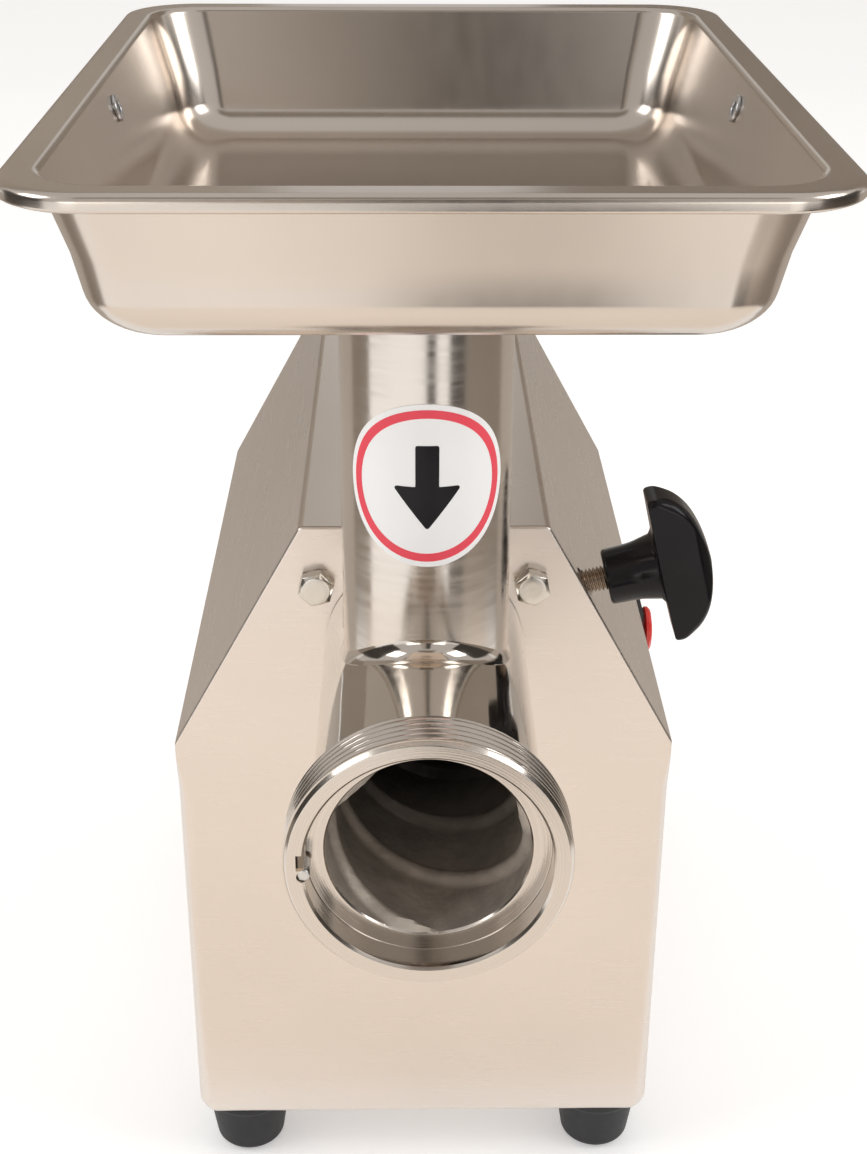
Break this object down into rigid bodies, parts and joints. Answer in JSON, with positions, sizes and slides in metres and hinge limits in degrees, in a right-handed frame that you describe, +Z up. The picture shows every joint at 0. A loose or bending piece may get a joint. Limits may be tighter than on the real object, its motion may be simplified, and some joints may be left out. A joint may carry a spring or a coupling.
{
  "type": "electric meat grinder",
  "caption": "Countertop electric meat grinder: folded steel housing on rubber feet, barrel with threaded mouth, feed tube, tray and a wing-knob clamp.",
  "frame": {"origin": "on the surface that the feet stand on, under the middle of the whole machine", "axes": "+X right seen from the mouth side, +Y from the mouth to the rear panel, +Z up"},
  "size_m": [0.2284, 0.526, 0.51],
  "materials": {
    "housing_steel": "satin brushed stainless sheet, warm tint",
    "tray_steel": "polished stainless sheet with faint draw marks",
    "tube_steel": "satin stainless tube",
    "polished_cast_steel": "mirror-polished casting, machined at the mouth, raw inside",
    "ground_steel": "ground steel",
    "zinc_hardware": "plated fasteners",
    "bearing_steel": "ground and oiled",
    "gear_steel": "hobbed and oiled",
    "lamination_steel": "stacked sheet, varnished",
    "gearbox_casting": "as cast",
    "motor_aluminium": "as cast",
    "winding_copper": "enamelled copper wire",
    "brass": "turned",
    "foot_rubber": "moulded",
    "seal_rubber": "moulded",
    "black_gloss_plastic": "polished phenolic",
    "black_plastic": "moulded",
    "cream_plastic": "moulded",
    "red_plastic": "moulded",
    "green_plastic": "moulded",
    "label_film": "printed film with a plain border and an arrow"
  },
  "bodies": {
    "base": {"housing_shell": "housing_steel", "front_panel": "housing_steel", "rear_panel": "housing_steel", "rear_panel_screws": "zinc_hardware", "base_plate": "housing_steel", "base_screws": "zinc_hardware", "feet": "foot_rubber", "foot_screws": "zinc_hardware", "gearbox_case": "gearbox_casting", "gearbox_cover": "gearbox_casting", "cover_screws": "zinc_hardware", "flange_bolts": "zinc_hardware", "output_front_bearing": "bearing_steel", "output_rear_bearing": "bearing_steel", "output_seal": "seal_rubber", "layshaft_bearings": "bearing_steel", "rotor_bearings": "bearing_steel", "stator_core": "lamination_steel", "stator_windings": "winding_copper", "motor_front_bell": "motor_aluminium", "motor_rear_bell": "motor_aluminium", "motor_tie_rods": "zinc_hardware", "motor_cradle": "zinc_hardware", "run_capacitor": "motor_aluminium", "capacitor_clip": "zinc_hardware", "terminal_block": "cream_plastic", "wiring_loom": "black_plastic", "cable_gland": "black_plastic", "switch_plate": "black_plastic", "switch_body": "black_plastic"},
    "output": {"output_shaft": "ground_steel", "output_gear": "gear_steel"},
    "lay_train": {"layshaft": "ground_steel", "layshaft_pinion": "gear_steel", "layshaft_gear": "gear_steel"},
    "rotor": {"rotor_shaft": "ground_steel", "motor_pinion": "gear_steel", "rotor_core": "lamination_steel", "cooling_fan": "black_plastic"},
    "head": {"head_barrel": "polished_cast_steel", "feed_tube": "tube_steel", "plate_key_pin": "ground_steel", "hand_guard_label": "label_film"},
    "tray": {"tray_pan": "tray_steel", "tray_spout": "tray_steel", "tray_eyelets": "ground_steel"},
    "clamp_shoe": {"clamp_pad": "brass"},
    "clamp_screw": {"clamp_stud": "zinc_hardware", "clamp_knob": "black_gloss_plastic"},
    "stop": {"stop_button": "red_plastic"},
    "start": {"start_button": "green_plastic"}
  },
  "joints": [
    {"name": "head_slide", "type": "slide", "parent": "base", "child": "head", "axis": [0, -1, 0], "range_m": [0, 0.07]},
    {"name": "tray_lift", "type": "slide", "parent": "head", "child": "tray", "axis": [0, 0, 1], "range_m": [0, 0.06]},
    {"name": "clamp_feed", "type": "slide", "parent": "base", "child": "clamp_shoe", "axis": [0.9703, 0, 0.2419], "range_m": [0, 0.00605]},
    {"name": "clamp_turn", "type": "hinge", "parent": "clamp_shoe", "child": "clamp_screw", "pos_m": [0.0645, -0.0565, 0.29987], "axis": [0.9703, 0, 0.2419], "range_deg": [0, 1440]},
    {"name": "rotor_spin", "type": "hinge", "parent": "base", "child": "rotor", "pos_m": [0, 0.1, 0.1775], "axis": [0, 1, 0], "continuous": true},
    {"name": "lay_spin", "type": "hinge", "parent": "base", "child": "lay_train", "pos_m": [0, 0.02, 0.2195], "axis": [0, 1, 0], "continuous": true},
    {"name": "output_spin", "type": "hinge", "parent": "base", "child": "output", "pos_m": [0, 0.02, 0.2755], "axis": [0, 1, 0], "continuous": true},
    {"name": "stop_press", "type": "slide", "parent": "base", "child": "stop", "axis": [-1, 0, 0], "range_m": [0, 0.0025], "stiffness_N_per_m": 900, "springref_m": -0.002},
    {"name": "start_press", "type": "slide", "parent": "base", "child": "start", "axis": [-1, 0, 0], "range_m": [0, 0.0025], "stiffness_N_per_m": 900, "springref_m": -0.002}
  ],
  "couplings": [
    {"joint": "clamp_feed", "follows": "clamp_turn", "m_per_rad": 0.00023873},
    {"joint": "lay_spin", "follows": "rotor_spin", "ratio": -0.33333},
    {"joint": "output_spin", "follows": "rotor_spin", "ratio": 0.13333}
  ]
}
